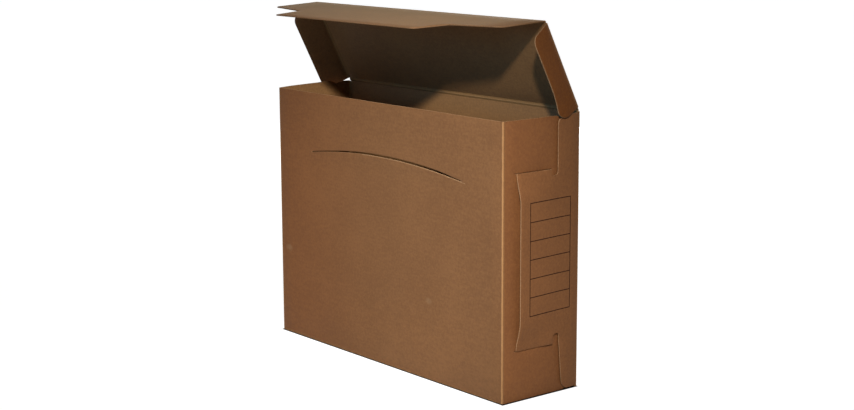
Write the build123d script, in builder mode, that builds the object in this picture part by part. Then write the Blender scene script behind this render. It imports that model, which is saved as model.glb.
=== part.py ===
from build123d import *
import math
import os

# Archive box folded from one sheet of kraft board, in millimetres.
# It stands on its base: X runs along the length, the front panel faces -Y, Z is up.
# The origin is the middle of the base. The lid stands open, as it is stored here.

# Board and folds
board = 1.0                   # thickness of the kraft board
fold_gap = 0.2                # from a rounded fold to the end of the panel beside it
layer_gap = 0.2               # between two flaps that lie on each other
swing_gap = 0.3               # between a moving flap and what it swings past

# Box, outside sizes
box_length = 340.0            # over the two outer end flaps
box_depth = 90.0              # over the front and back panels
front_height = 250.0          # top edge of the front panel and the inner end flaps
lid_rise = 2.5                # lid fold above the top edge of the front panel
floor_gap = 0.6               # from the floor to the lower edges of the end flaps

# Lid, as it stands open
lid_angle = 63.0              # lid above its closed place, in degrees
flap_fold = 66.0              # front flap away from flat with the lid, in degrees
corner_relief = 3.0           # cut off the back panel's top corners, beside the lid fold

# Front flap of the lid, measured down from its fold
wing_length = 50.0
wing_overhang = 0.5           # corner of a wing beyond the end of the lid
wing_round = 5.0
notch_depth = 60.5            # where the tongue begins
tongue_root = 112.0           # half the width of the tongue at its root
tongue_tip = 105.0            # half the width of the tongue at its end
tongue_length = 94.5          # from the fold to the free end
tongue_round = 4.0

# Slit in the front panel that takes the tongue
slit_spare = 2.0              # slit beyond each side of the tongue's root
slit_top = 50.2              # its highest point, below the top edge
slit_rise = 8.4               # its middle above its ends
slit_width = 1.4

# Ears of the lid, which stand a little outwards
ear_width = 28.8
ear_fold_gap = 0.5            # from an ear's rounded fold to the panels beside it
ear_back_start = 3.4          # from the lid fold to the ear, along the lid
ear_front_start = 2.1         # from the ear to the front fold of the lid
ear_back_taper = 5.2          # how far the back end leans forward over its width
ear_front_round = 7.5
ear_back_round = 12.5
right_ear_splay = 18.0        # outwards from square with the lid, in degrees
left_ear_splay = 30.0

# Inner end flap, from the front corner
inner_flap_reach = 75.0
inner_flap_round = 15.0       # its upper corner
inner_foot_round = 3.0        # its lower corner

# Outer end flap, from the rear corner, with its lock tab
strip_width = 25.3            # upper strip, from the rear fold to its free edge
strip_rear_drop = 4.0         # its top edge below the lid fold, beside the rear corner
strip_front_drop = 5.7        # its top edge below the lid fold, at its free edge
strip_level = 6.0             # level part of the top edge, from the rear corner
strip_round = 3.5
lower_strip_width = 23.3      # lower strip at its notch
foot_width = 19.1             # lower strip at the floor
foot_round = 6.0
tab_reach = 73.8              # from the rear fold to the free edge of the tab
tab_top = 203.5               # upper edge of the tab above the floor
tab_bottom = 45.5             # lower edge of the tab above the floor
tab_round = 2.5
tab_bow = 5.0                 # how far the locked tab bows out
tab_bend = 25.0               # height over which it bows
notch_width = 8.0
upper_notch_depth = 5.8
lower_notch_depth = 9.2

# Slits in the inner end flap that the tab is held in
lock_slit_width = 1.4
lock_slit_spare = 1.5         # slit beyond each end of the tab's edge

# Bottom flap, standing up inside the end
bottom_flap_height = 60.0
bottom_flap_inset = 4.0       # from the panels at its root
bottom_flap_taper = 8.0
bottom_flap_round = 8.0

# Places that follow from these sizes
half_board = board / 2
fold_end = half_board + fold_gap              # from a fold's axis to the end of a panel
end_round = 0.45 * board                      # rounding of panel ends that turn on a fold
front_y = half_board - box_depth / 2          # middle of the front panel
back_y = box_depth / 2 - half_board           # middle of the back panel
outer_x = box_length / 2 - half_board         # middle of the right outer end flap
inner_x = outer_x - board - layer_gap         # middle of the right inner end flap
bottom_x = inner_x - board - layer_gap        # middle of the right bottom flap
ear_x = outer_x                               # fold of the right ear
ear_end = half_board + ear_fold_gap           # from an ear's fold to the panels beside it
lid_z = front_height + lid_rise               # height of the lid fold
lid_depth = back_y - front_y + board + swing_gap    # from the lid fold to the front fold
lid_half = ear_x - ear_end                    # half the length of the lid panel
wing_reach = lid_half + wing_overhang         # half the width over the wings
tab_end_y = back_y - tab_reach                # free edge of the tab
slit_reach = tongue_root + slit_spare         # half the distance between the slit's ends
slit_middle_z = front_height - slit_top


def tilted(start_y, start_z, angle):
    """Plane of a lid sheet: its Y runs away from the fold, its Z points to the sheet's inner side."""
    turn = math.radians(angle)
    return Plane(
        origin=(0, start_y, start_z),
        x_dir=(1, 0, 0),
        z_dir=(0, -math.sin(turn), -math.cos(turn)),
    )


lid_plane = tilted(back_y, lid_z, lid_angle)
lid_front = lid_plane.from_local_coords((0, lid_depth, 0))
flap_plane = tilted(lid_front.Y, lid_front.Z, lid_angle - flap_fold)


def crease(start, end):
    """Rounded fold of the board along the line from start to end."""
    run = Vector(end) - Vector(start)
    with BuildPart() as fold:
        with BuildSketch(Plane(origin=start, z_dir=run)):
            Circle(half_board)
        extrude(amount=run.length)
    return fold


def save(piece, name):
    """Label one piece and write its file."""
    piece.part.label = name
    export_step(piece.part, f"parts/{name}.step")


def save_left(piece, name):
    """Write the mirror image, at the left end, of a piece built at the right."""
    with BuildPart() as other:
        mirror(piece.part, about=Plane.YZ)
    save(other, f"left_{name}")


def save_pair(piece, name):
    """Write the right-hand piece and its mirror image at the left end."""
    save(piece, f"right_{name}")
    save_left(piece, name)


os.makedirs("parts", exist_ok=True)

# Base, front and back
with BuildPart() as bottom_panel:
    with BuildSketch(Plane.XY):
        Rectangle(2 * (bottom_x - fold_end), 2 * (back_y - fold_end))
    extrude(amount=board)
save(bottom_panel, "bottom_panel")

with BuildPart() as front_panel:
    with BuildSketch(Plane.XZ.offset(-front_y)):
        with Locations((0, half_board + fold_end)):
            Rectangle(
                2 * (inner_x - fold_end),
                front_height - half_board - fold_end,
                align=(Align.CENTER, Align.MIN),
            )
        with BuildLine(mode=Mode.PRIVATE) as slit_line:
            ThreePointArc(
                (-slit_reach, slit_middle_z - slit_rise),
                (0, slit_middle_z),
                (slit_reach, slit_middle_z - slit_rise),
            )
        SlotArc(slit_line.edge(), slit_width, mode=Mode.SUBTRACT)
    extrude(amount=half_board, both=True)
save(front_panel, "front_panel")

with BuildPart() as back_panel:
    with BuildSketch(Plane.XZ.offset(-back_y)):
        with Locations((0, half_board + fold_end)):
            Rectangle(
                2 * (outer_x - fold_end),
                lid_z - half_board - 2 * fold_end,
                align=(Align.CENTER, Align.MIN),
            )
        chamfer(vertices().group_by(Axis.Y)[-1], length=corner_relief)
    extrude(amount=half_board, both=True)
    fillet(edges().filter_by(Axis.X).group_by(Axis.Z)[-1], radius=end_round)
save(back_panel, "back_panel")

# Folds along the base and up the corners
base_half = bottom_x - fold_end
save(
    crease((-base_half, front_y, half_board), (base_half, front_y, half_board)),
    "front_bottom_crease",
)
save(
    crease((-base_half, back_y, half_board), (base_half, back_y, half_board)),
    "back_bottom_crease",
)
save_pair(crease((inner_x, front_y, floor_gap), (inner_x, front_y, front_height)), "front_crease")
save_pair(
    crease((outer_x, back_y, floor_gap), (outer_x, back_y, lid_z - strip_rear_drop)),
    "back_crease",
)

# Bottom flap and its fold, inside each end
flap_root_half = back_y - half_board - bottom_flap_inset
with BuildPart() as bottom_flap:
    with BuildSketch(Plane.YZ.offset(bottom_x)):
        with BuildLine():
            Polyline(
                (-flap_root_half, half_board + fold_end),
                (flap_root_half, half_board + fold_end),
                (flap_root_half - bottom_flap_taper, bottom_flap_height),
                (bottom_flap_taper - flap_root_half, bottom_flap_height),
                close=True,
            )
        make_face()
        fillet(vertices().group_by(Axis.Y)[-1], radius=bottom_flap_round)
    extrude(amount=half_board, both=True)
save_pair(bottom_flap, "bottom_flap")
save_pair(
    crease((bottom_x, -flap_root_half, half_board), (bottom_x, flap_root_half, half_board)),
    "bottom_crease",
)

# Inner end flap, with the two slits that hold the lock tab
slit_end_y = tab_end_y - lock_slit_spare
slit_root_y = back_y - strip_width - notch_width + lock_slit_spare
with BuildPart() as inner_end_flap:
    with BuildSketch(Plane.YZ.offset(inner_x)):
        with Locations((front_y + fold_end, floor_gap)):
            Rectangle(
                inner_flap_reach - fold_end,
                front_height - floor_gap,
                align=(Align.MIN, Align.MIN),
            )
        fillet(vertices().group_by(Axis.X)[-1].sort_by(Axis.Y)[-1], radius=inner_flap_round)
        fillet(vertices().group_by(Axis.X)[-1].sort_by(Axis.Y)[0], radius=inner_foot_round)
        with Locations(
            ((slit_end_y + slit_root_y) / 2, tab_top),
            ((slit_end_y + slit_root_y) / 2, tab_bottom),
        ):
            SlotOverall(slit_root_y - slit_end_y, lock_slit_width, mode=Mode.SUBTRACT)
    extrude(amount=half_board, both=True)
save_pair(inner_end_flap, "inner_end_flap")

# Outer end flap: a sheet whose tab bows out, trimmed to its die-cut outline
strip_y = back_y - strip_width                # free edge of the upper strip
lower_strip_y = back_y - lower_strip_width    # free edge of the lower strip at its notch
strip_top_z = lid_z - strip_front_drop
notch_radius = notch_width / 2
upper_notch_z = tab_top - upper_notch_depth + notch_radius
lower_notch_z = tab_bottom + lower_notch_depth - notch_radius
tab_levels = (tab_bottom, tab_bottom + tab_bend, tab_top - tab_bend, tab_top)

with BuildPart() as outer_end_flap:
    for level, bow in zip(tab_levels, (0, tab_bow, tab_bow, 0)):
        with BuildSketch(Plane.XY.offset(level)):
            Polygon(
                (outer_x - half_board, strip_y),
                (outer_x + half_board, strip_y),
                (outer_x + half_board + bow, tab_end_y),
                (outer_x - half_board + bow, tab_end_y),
                align=None,
            )
    loft(ruled=True)
    with BuildSketch(Plane.YZ.offset(outer_x)):
        with Locations((strip_y, floor_gap)):
            Rectangle(
                strip_width - fold_end,
                lid_z - strip_rear_drop - floor_gap,
                align=(Align.MIN, Align.MIN),
            )
    extrude(amount=half_board, both=True)
    with BuildSketch(Plane.YZ.offset(outer_x - half_board)):
        with BuildLine():
            Polyline(
                (back_y - foot_width, floor_gap),
                (back_y - fold_end, floor_gap),
                (back_y - fold_end, lid_z - strip_rear_drop),
                (back_y - fold_end - strip_level, lid_z - strip_rear_drop),
                (strip_y, strip_top_z),
                (strip_y, tab_top),
                (tab_end_y, tab_top),
                (tab_end_y, tab_bottom),
                (lower_strip_y, tab_bottom),
                close=True,
            )
        make_face()
        fillet(vertices().group_by(Axis.X)[0], radius=tab_round)
        fillet(vertices().sort_by_distance((strip_y, strip_top_z))[0], radius=strip_round)
        fillet(vertices().sort_by_distance((back_y - foot_width, floor_gap))[0], radius=foot_round)
        with Locations((strip_y - notch_radius, upper_notch_z)):
            SlotCenterToCenter(
                2 * upper_notch_depth, notch_width, rotation=90, mode=Mode.SUBTRACT
            )
        with Locations((lower_strip_y - notch_radius, lower_notch_z)):
            SlotCenterToCenter(
                2 * lower_notch_depth, notch_width, rotation=90, mode=Mode.SUBTRACT
            )
    extrude(amount=board + tab_bow, mode=Mode.INTERSECT)
save_pair(outer_end_flap, "outer_end_flap")

# Lid panel and the folds around it
save(crease((-lid_half, back_y, lid_z), (lid_half, back_y, lid_z)), "lid_crease")

with BuildPart() as lid_panel:
    with BuildSketch(lid_plane):
        with Locations((0, fold_end)):
            Rectangle(2 * lid_half, lid_depth - 2 * fold_end, align=(Align.CENTER, Align.MIN))
    extrude(amount=half_board, both=True)
    fillet(edges().filter_by(lambda edge: edge.length > 2 * board), radius=end_round)
save(lid_panel, "lid_panel")

front_fold = [lid_plane.from_local_coords((x, lid_depth, 0)) for x in (-lid_half, lid_half)]
save(crease(*front_fold), "lid_front_crease")

ear_fold = [
    lid_plane.from_local_coords((ear_x, along, 0))
    for along in (ear_back_start, lid_depth - ear_front_start)
]
save_pair(crease(*ear_fold), "ear_crease")


def lid_ear(splay):
    """Ear at the right end of the lid, turned outwards by the splay in degrees."""
    turn = math.radians(splay)
    ear_plane = Plane(
        origin=(ear_x, back_y, lid_z),
        x_dir=lid_plane.y_dir,
        z_dir=Vector(1, 0, 0) * math.cos(turn) - lid_plane.z_dir * math.sin(turn),
    )
    with BuildPart() as ear:
        with BuildSketch(ear_plane):
            with BuildLine():
                Polyline(
                    (ear_back_start, ear_end),
                    (lid_depth - ear_front_start, ear_end),
                    (lid_depth - ear_front_start, ear_width),
                    (ear_back_start + ear_back_taper, ear_width),
                    close=True,
                )
            make_face()
            fillet(vertices().group_by(Axis.Y)[-1].sort_by(Axis.X)[0], radius=ear_back_round)
            fillet(vertices().group_by(Axis.Y)[-1].sort_by(Axis.X)[-1], radius=ear_front_round)
        extrude(amount=half_board, both=True)
        fold_side = edges().filter_by(Axis(ear_plane.origin, ear_plane.x_dir))
        fillet(fold_side.sort_by(Axis(ear_plane.origin, ear_plane.y_dir))[:2], radius=end_round)
    return ear


save(lid_ear(right_ear_splay), "right_lid_ear")
save_left(lid_ear(left_ear_splay), "lid_ear")

# Front flap of the lid, with its wings and the tongue
with BuildPart() as lid_front_flap:
    with BuildSketch(flap_plane):
        with BuildLine():
            Polyline(
                (lid_half, fold_end),
                (wing_reach, wing_length),
                (tongue_root, notch_depth),
                (tongue_tip, tongue_length),
                (0, tongue_length),
            )
            Line((0, tongue_length), (0, fold_end))
            Line((0, fold_end), (lid_half, fold_end))
        make_face()
        fillet(vertices().sort_by_distance((wing_reach, wing_length))[0], radius=wing_round)
        fillet(vertices().sort_by_distance((tongue_tip, tongue_length))[0], radius=tongue_round)
        mirror(about=Plane.YZ)
    extrude(amount=half_board, both=True)
    fillet(edges().filter_by(Axis.X).group_by(Axis.Z)[-1], radius=end_round)
save(lid_front_flap, "lid_front_flap")

print("lid hinge", (0, back_y, lid_z))
print("front flap hinge", tuple(lid_front))
print("ear hinge", (ear_x, back_y, lid_z), "along", tuple(lid_plane.y_dir))
print("end flap hinge", (outer_x, back_y, 0))
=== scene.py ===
"""Looks of the upright kraft board archive box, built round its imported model.

The box is one folded sheet, so every panel is cut from board of the same
thickness, and a strip of scored board joins each panel to the next one.
Sizes are in millimetres and become metres where a mesh is made.
"""

import logging
import math
from dataclasses import dataclass
from enum import Enum
from typing import Callable, Iterable, Optional, Sequence

import bmesh
import bpy
from mathutils import Matrix, Vector


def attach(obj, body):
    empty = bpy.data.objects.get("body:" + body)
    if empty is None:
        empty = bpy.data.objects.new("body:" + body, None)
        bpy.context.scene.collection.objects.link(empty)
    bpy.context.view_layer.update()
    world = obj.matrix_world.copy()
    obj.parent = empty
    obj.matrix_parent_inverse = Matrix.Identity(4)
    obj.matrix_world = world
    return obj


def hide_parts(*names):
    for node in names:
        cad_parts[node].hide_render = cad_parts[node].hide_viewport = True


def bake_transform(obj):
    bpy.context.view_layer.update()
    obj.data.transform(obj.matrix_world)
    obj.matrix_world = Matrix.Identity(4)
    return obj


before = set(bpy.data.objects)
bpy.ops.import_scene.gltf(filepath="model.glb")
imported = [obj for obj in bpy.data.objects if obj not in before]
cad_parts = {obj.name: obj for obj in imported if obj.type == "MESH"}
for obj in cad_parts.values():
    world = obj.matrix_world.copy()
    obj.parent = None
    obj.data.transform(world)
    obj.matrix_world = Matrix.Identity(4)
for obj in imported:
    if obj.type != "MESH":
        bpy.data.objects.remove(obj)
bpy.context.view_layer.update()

LOG = logging.getLogger("archive_box")

Point2 = tuple[float, float]
Triple = tuple[float, float, float]
Shade = tuple[int, int, int]
Weight = Callable[[Vector], float]
Socket = bpy.types.NodeSocket
Material = bpy.types.Material

MM = 0.001  # metres in a millimetre
BOARD = 1.0  # thickness of the kraft board
SOFT_EDGE = 0.14  # rounding that a die cut leaves
FLAT_ON = 0.85  # how far a face looks up or down to be a side of the board
SAME = 1e-7  # metres between points that are the same
NEAR = 0.01  # millimetres between places that are the same
CORNER_NEAR = 0.05  # the same for a corner that is picked
SHARP = 50.0  # least angle of an edge that is rounded, in degrees
SIDES = {"right": 1, "left": -1}

# Places of the folds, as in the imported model
FRONT_Y = -44.5
BACK_Y = 44.5
OUTER_X = 169.5
INNER_X = 168.3
BASE_FOLD_X = 167.1
BASE_Z = 0.5
FRONT_HEIGHT = 250.0
LID_Z = 252.5
FLOOR_GAP = 0.6
LID_ANGLE = 63.0
FLAP_ANGLE = -3.0
LID_DEPTH = 90.3
FOLD_END = 0.7  # from a fold's axis to the panel beside it
EAR_END = 1.0
FOLD_ROOM = 0.25  # more at the folds that bend sharply
LID_HALF = OUTER_X - EAR_END
BOTTOM_FLAP_HALF = 40.0
LOCK_TOP = 203.5  # upper edge of the lock tab
LOCK_BOTTOM = 45.5

# Directions
UP = (0.0, 0.0, 1.0)
DOWN = (0.0, 0.0, -1.0)
BACKWARDS = (0.0, 1.0, 0.0)
FORWARDS = (0.0, -1.0, 0.0)
RIGHT = (1.0, 0.0, 0.0)
LEFT = (-1.0, 0.0, 0.0)


class Surface(Enum):
    """Material slots of a piece of board, in the order of their numbers."""

    OUTSIDE = 0
    INSIDE = 1
    CUT_EDGE = 2
    INK = 3


class Push(Enum):
    """Directions in which a bench moves points, in the board's own plane."""

    UP = "Y"
    OUT = "Z"


class Pick(Enum):
    """Parts of a mesh that a bench can select, by Blender's names."""

    CORNERS = "VERT"
    EDGES = "EDGE"
    FACES = "FACE"


def smooth(value: float) -> float:
    """Return the smooth step of a value, held between 0 and 1."""
    held = min(1.0, max(0.0, value))
    return held * held * (3.0 - 2.0 * held)


def swell(half: float, low: float, high: float, runs: Triple) -> Weight:
    """Return how a panel bows, from 0 at its rim to 1 in its middle.

    Args:
        half: Half the panel's length.
        low: Its lower edge.
        high: Its upper edge.
        runs: How far the bow rises from the ends, the lower and the upper edge.

    Returns:
        The share of the bow at a point in millimetres.
    """
    return lambda spot: (
        smooth((half - abs(spot.x)) / runs[0])
        * smooth((spot.y - low) / runs[1])
        * smooth((high - spot.y) / runs[2])
    )


def steps_between(low: float, high: float, count: int) -> list[float]:
    """Return the places that cut a length into so many equal parts."""
    return [low + (high - low) * index / count for index in range(1, count)]


def linear(colour: Sequence[int]) -> tuple[float, float, float, float]:
    """Turn a display colour into the linear one that a shader wants.

    Args:
        colour: Red, green and blue from 0 to 255.

    Returns:
        The linear colour with a full alpha.
    """
    shares = [level / 255.0 for level in colour]
    red, green, blue = (
        share / 12.92 if share <= 0.04045 else ((share + 0.055) / 1.055) ** 2.4
        for share in shares
    )
    return red, green, blue, 1.0


def select_only(item: Optional[bpy.types.Object]) -> None:
    """Select one object and nothing else, or nothing at all.

    Args:
        item: The object, or None for nothing.
    """
    for other in bpy.context.selected_objects:
        other.select_set(False)
    if item:
        bpy.context.view_layer.objects.active = item
        item.select_set(True)


class NodeTable:
    """The nodes of one tree, laid out step by step."""

    def __init__(self, tree: bpy.types.NodeTree) -> None:
        """Take the tree that the nodes go into."""
        self.tree = tree

    def add(self, kind: str, *values: object, **settings: object) -> bpy.types.Node:
        """Add a node.

        Args:
            kind: Blender's name of the node type, after its "ShaderNode".
            *values: What goes into its first inputs.
            **settings: Properties to set on it.

        Returns:
            The new node.
        """
        node = self.tree.nodes.new(f"ShaderNode{kind}")
        for key, value in settings.items():
            setattr(node, key, value)
        for socket, value in zip(node.inputs, values):
            self.put(socket, value)
        return node

    def put(self, target: Socket, value: object) -> None:
        """Link a socket to an input, or set the input to a plain value.

        Args:
            target: The input.
            value: A socket, or a plain value.
        """
        if isinstance(value, Socket):
            self.tree.links.new(value, target)
        else:
            target.default_value = value

    def place(self, output: str = "Object", stretch: Optional[Triple] = None) -> Socket:
        """Return coordinates, stretched where a pattern has a direction.

        Args:
            output: Which coordinates the pattern follows.
            stretch: Scale along each axis, if it has one.

        Returns:
            The coordinates.
        """
        source = self.add("TexCoord").outputs[output]
        if stretch is None:
            return source
        mapping = self.add("Mapping", source)
        mapping.inputs["Scale"].default_value = stretch
        return mapping.outputs["Vector"]

    def apart(self, vector: Socket) -> Sequence[Socket]:
        """Return the three parts of a vector."""
        return self.add("SeparateXYZ", vector).outputs

    def noise(
        self, place: Socket, scale: float, detail: float = 4.0, roughness: float = 0.6
    ) -> Socket:
        """Return a noise pattern with `scale` patches to the metre.

        Args:
            place: Coordinates of the pattern.
            scale: Patches to the metre.
            detail: How many finer layers it has.
            roughness: How strong the finer layers are.

        Returns:
            The pattern, from 0 to 1.
        """
        node = self.add("TexNoise", place)
        node.inputs["Scale"].default_value = scale
        node.inputs["Detail"].default_value = detail
        node.inputs["Roughness"].default_value = roughness
        return node.outputs["Fac"]

    def math(self, operation: str, *values: object) -> Socket:
        """Return the result of a sum on sockets and numbers."""
        return self.add("Math", *values, operation=operation).outputs[0]

    def vector(self, operation: str, *values: object) -> Socket:
        """Return the result of a sum on vectors, a number for a length."""
        node = self.add("VectorMath", *values, operation=operation)
        return node.outputs["Value" if operation == "LENGTH" else "Vector"]

    def spread(self, value: object, low: float, high: float) -> Socket:
        """Return a value stretched so that low to high becomes 0 to 1."""
        node = self.add("MapRange", value, low, high, interpolation_type="SMOOTHSTEP")
        return node.outputs["Result"]

    def blend(self, share: object, first: object, second: object) -> Socket:
        """Return a colour that goes from the first to the second.

        Args:
            share: Share of the second colour.
            first: Colour at 0.
            second: Colour at 1.

        Returns:
            The colour between them.
        """
        node = self.add("Mix", share, data_type="RGBA")
        self.put(node.inputs[6], first)
        self.put(node.inputs[7], second)
        return node.outputs[2]

    def seen(self) -> Socket:
        """Return 1 for what the camera sees, also in and through gloss.

        Returns:
            The share, 0 or 1.
        """
        path = self.add("LightPath").outputs
        passed = path["Is Transmission Ray"]
        mirrored = self.math("MAXIMUM", path["Is Glossy Ray"], passed)
        return self.math("MAXIMUM", path["Is Camera Ray"], mirrored)


class MaterialTable(NodeTable):
    """The nodes of one material."""

    def __init__(self, name: str) -> None:
        """Start a material with an empty shader.

        Args:
            name: Name of the material.
        """
        self.material = bpy.data.materials.new(name)
        self.material.use_nodes = True
        super().__init__(self.material.node_tree)
        self.shader = self.tree.nodes["Principled BSDF"]

    def dress(self, colour: object, roughness: object, gloss: float) -> None:
        """Give the shader its colour, its roughness and its mirroring.

        Args:
            colour: Linear colour.
            roughness: Roughness from 0 to 1.
            gloss: How much it mirrors, from 0 to 1.
        """
        self.put(self.shader.inputs["Base Color"], colour)
        self.put(self.shader.inputs["Roughness"], roughness)
        self.shader.inputs["Specular IOR Level"].default_value = gloss

    def bump(self, height: object, distance: float, strength: float) -> None:
        """Give the shader a bump of so many metres.

        Args:
            height: Pattern of the height, from 0 to 1.
            distance: Height of the bump in metres.
            strength: How strongly it turns the light, from 0 to 1.
        """
        node = self.add("Bump")
        node.inputs["Strength"].default_value = strength
        node.inputs["Distance"].default_value = distance
        self.put(node.inputs["Height"], height)
        self.put(self.shader.inputs["Normal"], node.outputs["Normal"])


@dataclass(frozen=True)
class Mark:
    """A faint scuff on a panel.

    Attributes:
        centre: Its place in millimetres.
        reach: Its size in millimetres along X, Y and Z.
        strength: How far it goes towards the scuffed tone.
    """

    centre: Triple
    reach: Triple
    strength: float

    def share(self, table: NodeTable, place: Socket) -> Socket:
        """Return where the scuff lies, as a share from 0 to 1.

        Args:
            table: Table that the nodes go into.
            place: Coordinates in metres.

        Returns:
            The share.
        """
        shift = table.vector("SUBTRACT", place, [MM * level for level in self.centre])
        shrink = table.vector("DIVIDE", shift, [MM * level for level in self.reach])
        ragged = table.math("MULTIPLY_ADD", table.noise(place, 260.0), 0.9, -0.45)
        far = table.math("ADD", table.vector("LENGTH", shrink), ragged)
        return table.math("MULTIPLY", table.spread(far, 1.0, 0.25), self.strength)


@dataclass(frozen=True)
class PaintedShadeGradient:
    """Painted shade: a darker, warmer tone towards the board's low X, standing for the
    pale light that falls off towards that end.

    Attributes:
        dark: Display colour of the darker fibres there.
        pale: Display colour of the paler fibres there.
        start: Where the tone is in full, in metres along X.
        end: Where it has gone.
    """

    dark: Shade
    pale: Shade
    start: float
    end: float


@dataclass(frozen=True)
class Finish:
    """What the finishes share.

    Attributes:
        name: Name of the material.
        dark: Display colour of the darker tone.
        pale: Display colour of the paler tone.
    """

    name: str
    dark: Shade
    pale: Shade

    def build(self) -> Material:
        """Return the material of this finish."""
        raise NotImplementedError

    def between(self, table: NodeTable, share: object) -> Socket:
        """Return the colour at a share of the way from dark to pale."""
        return table.blend(share, linear(self.dark), linear(self.pale))


@dataclass(frozen=True)
class KraftFinish(Finish):
    """Solid kraft board, with its fibres, its clouds and its flecks.

    Attributes:
        fleck: Display colour of the sparse flecks.
        roughness: Middle roughness of the surface.
        gloss: How much the board mirrors, from 0 to 1.
        scuff: Display colour of a scuff.
        marks: Faint scuffs.
        painted_shade: Painted shade towards one end, a darker, warmer tone, if it has
            one.
    """

    fleck: Shade
    roughness: float = 0.72
    gloss: float = 0.3
    scuff: Shade = (152, 122, 88)
    marks: tuple[Mark, ...] = ()
    painted_shade: Optional[PaintedShadeGradient] = None

    def build(self) -> Material:
        """Return the material of this finish.

        Returns:
            The material.
        """
        table = MaterialTable(self.name)
        place = table.place()
        fibres = table.noise(place, 430.0, 5.0, 0.62)
        streaks = table.noise(table.place(stretch=(0.16, 1.0, 1.0)), 520.0, 3.0, 0.55)
        clouds = table.noise(place, 17.0, 2.0, 0.5)
        weak_streaks = table.math("MULTIPLY", streaks, 0.2)
        grain = table.math("MULTIPLY_ADD", fibres, 0.55, weak_streaks)
        share = table.spread(table.math("MULTIPLY_ADD", clouds, 0.25, grain), 0.34, 0.66)
        colour = self.between(table, share)
        # Painted shade: towards low X the colour passes to the darker, warmer pair.
        if self.painted_shade:
            along = table.apart(place)[0]
            far = table.spread(along, self.painted_shade.start, self.painted_shade.end)
            tones = linear(self.painted_shade.dark), linear(self.painted_shade.pale)
            warm = table.blend(share, *tones)
            colour = table.blend(far, warm, colour)
        flecks = table.spread(table.noise(place, 900.0, 2.0, 0.5), 0.7, 0.78)
        flecks = table.math("MULTIPLY", flecks, 0.5)
        colour = table.blend(flecks, colour, linear(self.fleck))
        for mark in self.marks:
            colour = table.blend(mark.share(table, place), colour, linear(self.scuff))
        rough = table.math("MULTIPLY_ADD", fibres, 0.18, self.roughness - 0.09)
        table.dress(colour, rough, self.gloss)
        table.bump(table.math("MULTIPLY_ADD", streaks, 0.5, fibres), 0.00012, 0.5)
        return table.material


@dataclass(frozen=True)
class CutEdgeFinish(Finish):
    """The paler core of the board, in thin layers, where it was cut."""

    def build(self) -> Material:
        """Return the material of this finish.

        Returns:
            The material.
        """
        table = MaterialTable(self.name)
        layers = table.noise(table.place(), 1400.0, 3.0, 0.6)
        rough = table.math("MULTIPLY_ADD", layers, 0.15, 0.78)
        table.dress(self.between(table, table.spread(layers, 0.36, 0.64)), rough, 0.25)
        table.bump(layers, 0.0001, 0.5)
        return table.material


@dataclass(frozen=True)
class FoldFinish(Finish):
    """Board along a fold, dark at its sides and pale on the bend: rubbing on the outside
    of a fold, a painted highlight on the ridge inside it.

    Its map's U runs across the fold from 0 to 1 and its V along it in metres.

    Attributes:
        width: Half the width of the pale line, as a share of the strip.
        wear_and_highlight: How far the bend goes to the pale colour.
    """

    width: float
    wear_and_highlight: float

    def build(self) -> Material:
        """Return the material of this finish.

        Returns:
            The material.
        """
        table = MaterialTable(self.name)
        across, along, _ = table.apart(table.place("UV"))
        squeezed = table.math("MULTIPLY", across, 0.005)
        spot = table.add("CombineXYZ", squeezed, along).outputs[0]
        line_noise = table.noise(spot, 120.0, 4.0, 0.65)
        grain = table.noise(spot, 520.0, 4.0, 0.6)
        off = table.math("ABSOLUTE", table.math("SUBTRACT", across, 0.5))
        reach = table.math("MULTIPLY_ADD", line_noise, self.width * 1.2, self.width * 0.4)
        line = table.spread(table.math("DIVIDE", off, reach), 1.0, 0.35)
        worn_and_lit = table.math("MULTIPLY_ADD", line_noise, 0.5, self.wear_and_highlight - 0.25)
        base = table.blend(
            table.spread(grain, 0.3, 0.7),
            linear([round(0.93 * level) for level in self.dark]),
            linear([round(1.06 * level) for level in self.dark]),
        )
        colour = table.blend(table.math("MULTIPLY", line, worn_and_lit), base, linear(self.pale))
        table.dress(colour, table.math("MULTIPLY_ADD", grain, 0.18, 0.63), 0.3)
        table.bump(grain, 0.0001, 0.45)
        return table.material


@dataclass(frozen=True)
class InkFinish(Finish):
    """Thin dark brown ink, with the paler board showing between its fibres."""

    def build(self) -> Material:
        """Return the material of this finish.

        Returns:
            The material.
        """
        table = MaterialTable(self.name)
        gaps = table.spread(table.noise(table.place(), 800.0, 3.0, 0.6), 0.6, 0.9)
        rough = table.math("MULTIPLY_ADD", gaps, 0.1, 0.85)
        table.dress(self.between(table, gaps), rough, 0.1)
        return table.material


BROWN = ((112, 74, 41), (130, 89, 52), (84, 54, 30))
SCUFFS = (
    Mark((-155.7, -45.0, 88.6), (8.0, 3.0, 4.5), 0.33),
    Mark((67.5, -45.0, 74.6), (6.0, 3.0, 4.0), 0.24),
)
OUTSIDE_KRAFT = KraftFinish("kraft_outside", *BROWN, gloss=0.15)
# Painted shade darkens and warms the front towards its left end; the scuffs are real.
FRONT_KRAFT = KraftFinish(
    "kraft_front",
    *BROWN,
    marks=SCUFFS,
    painted_shade=PaintedShadeGradient((110, 67, 33), (127, 81, 43), -0.17, 0.02),
)
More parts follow.
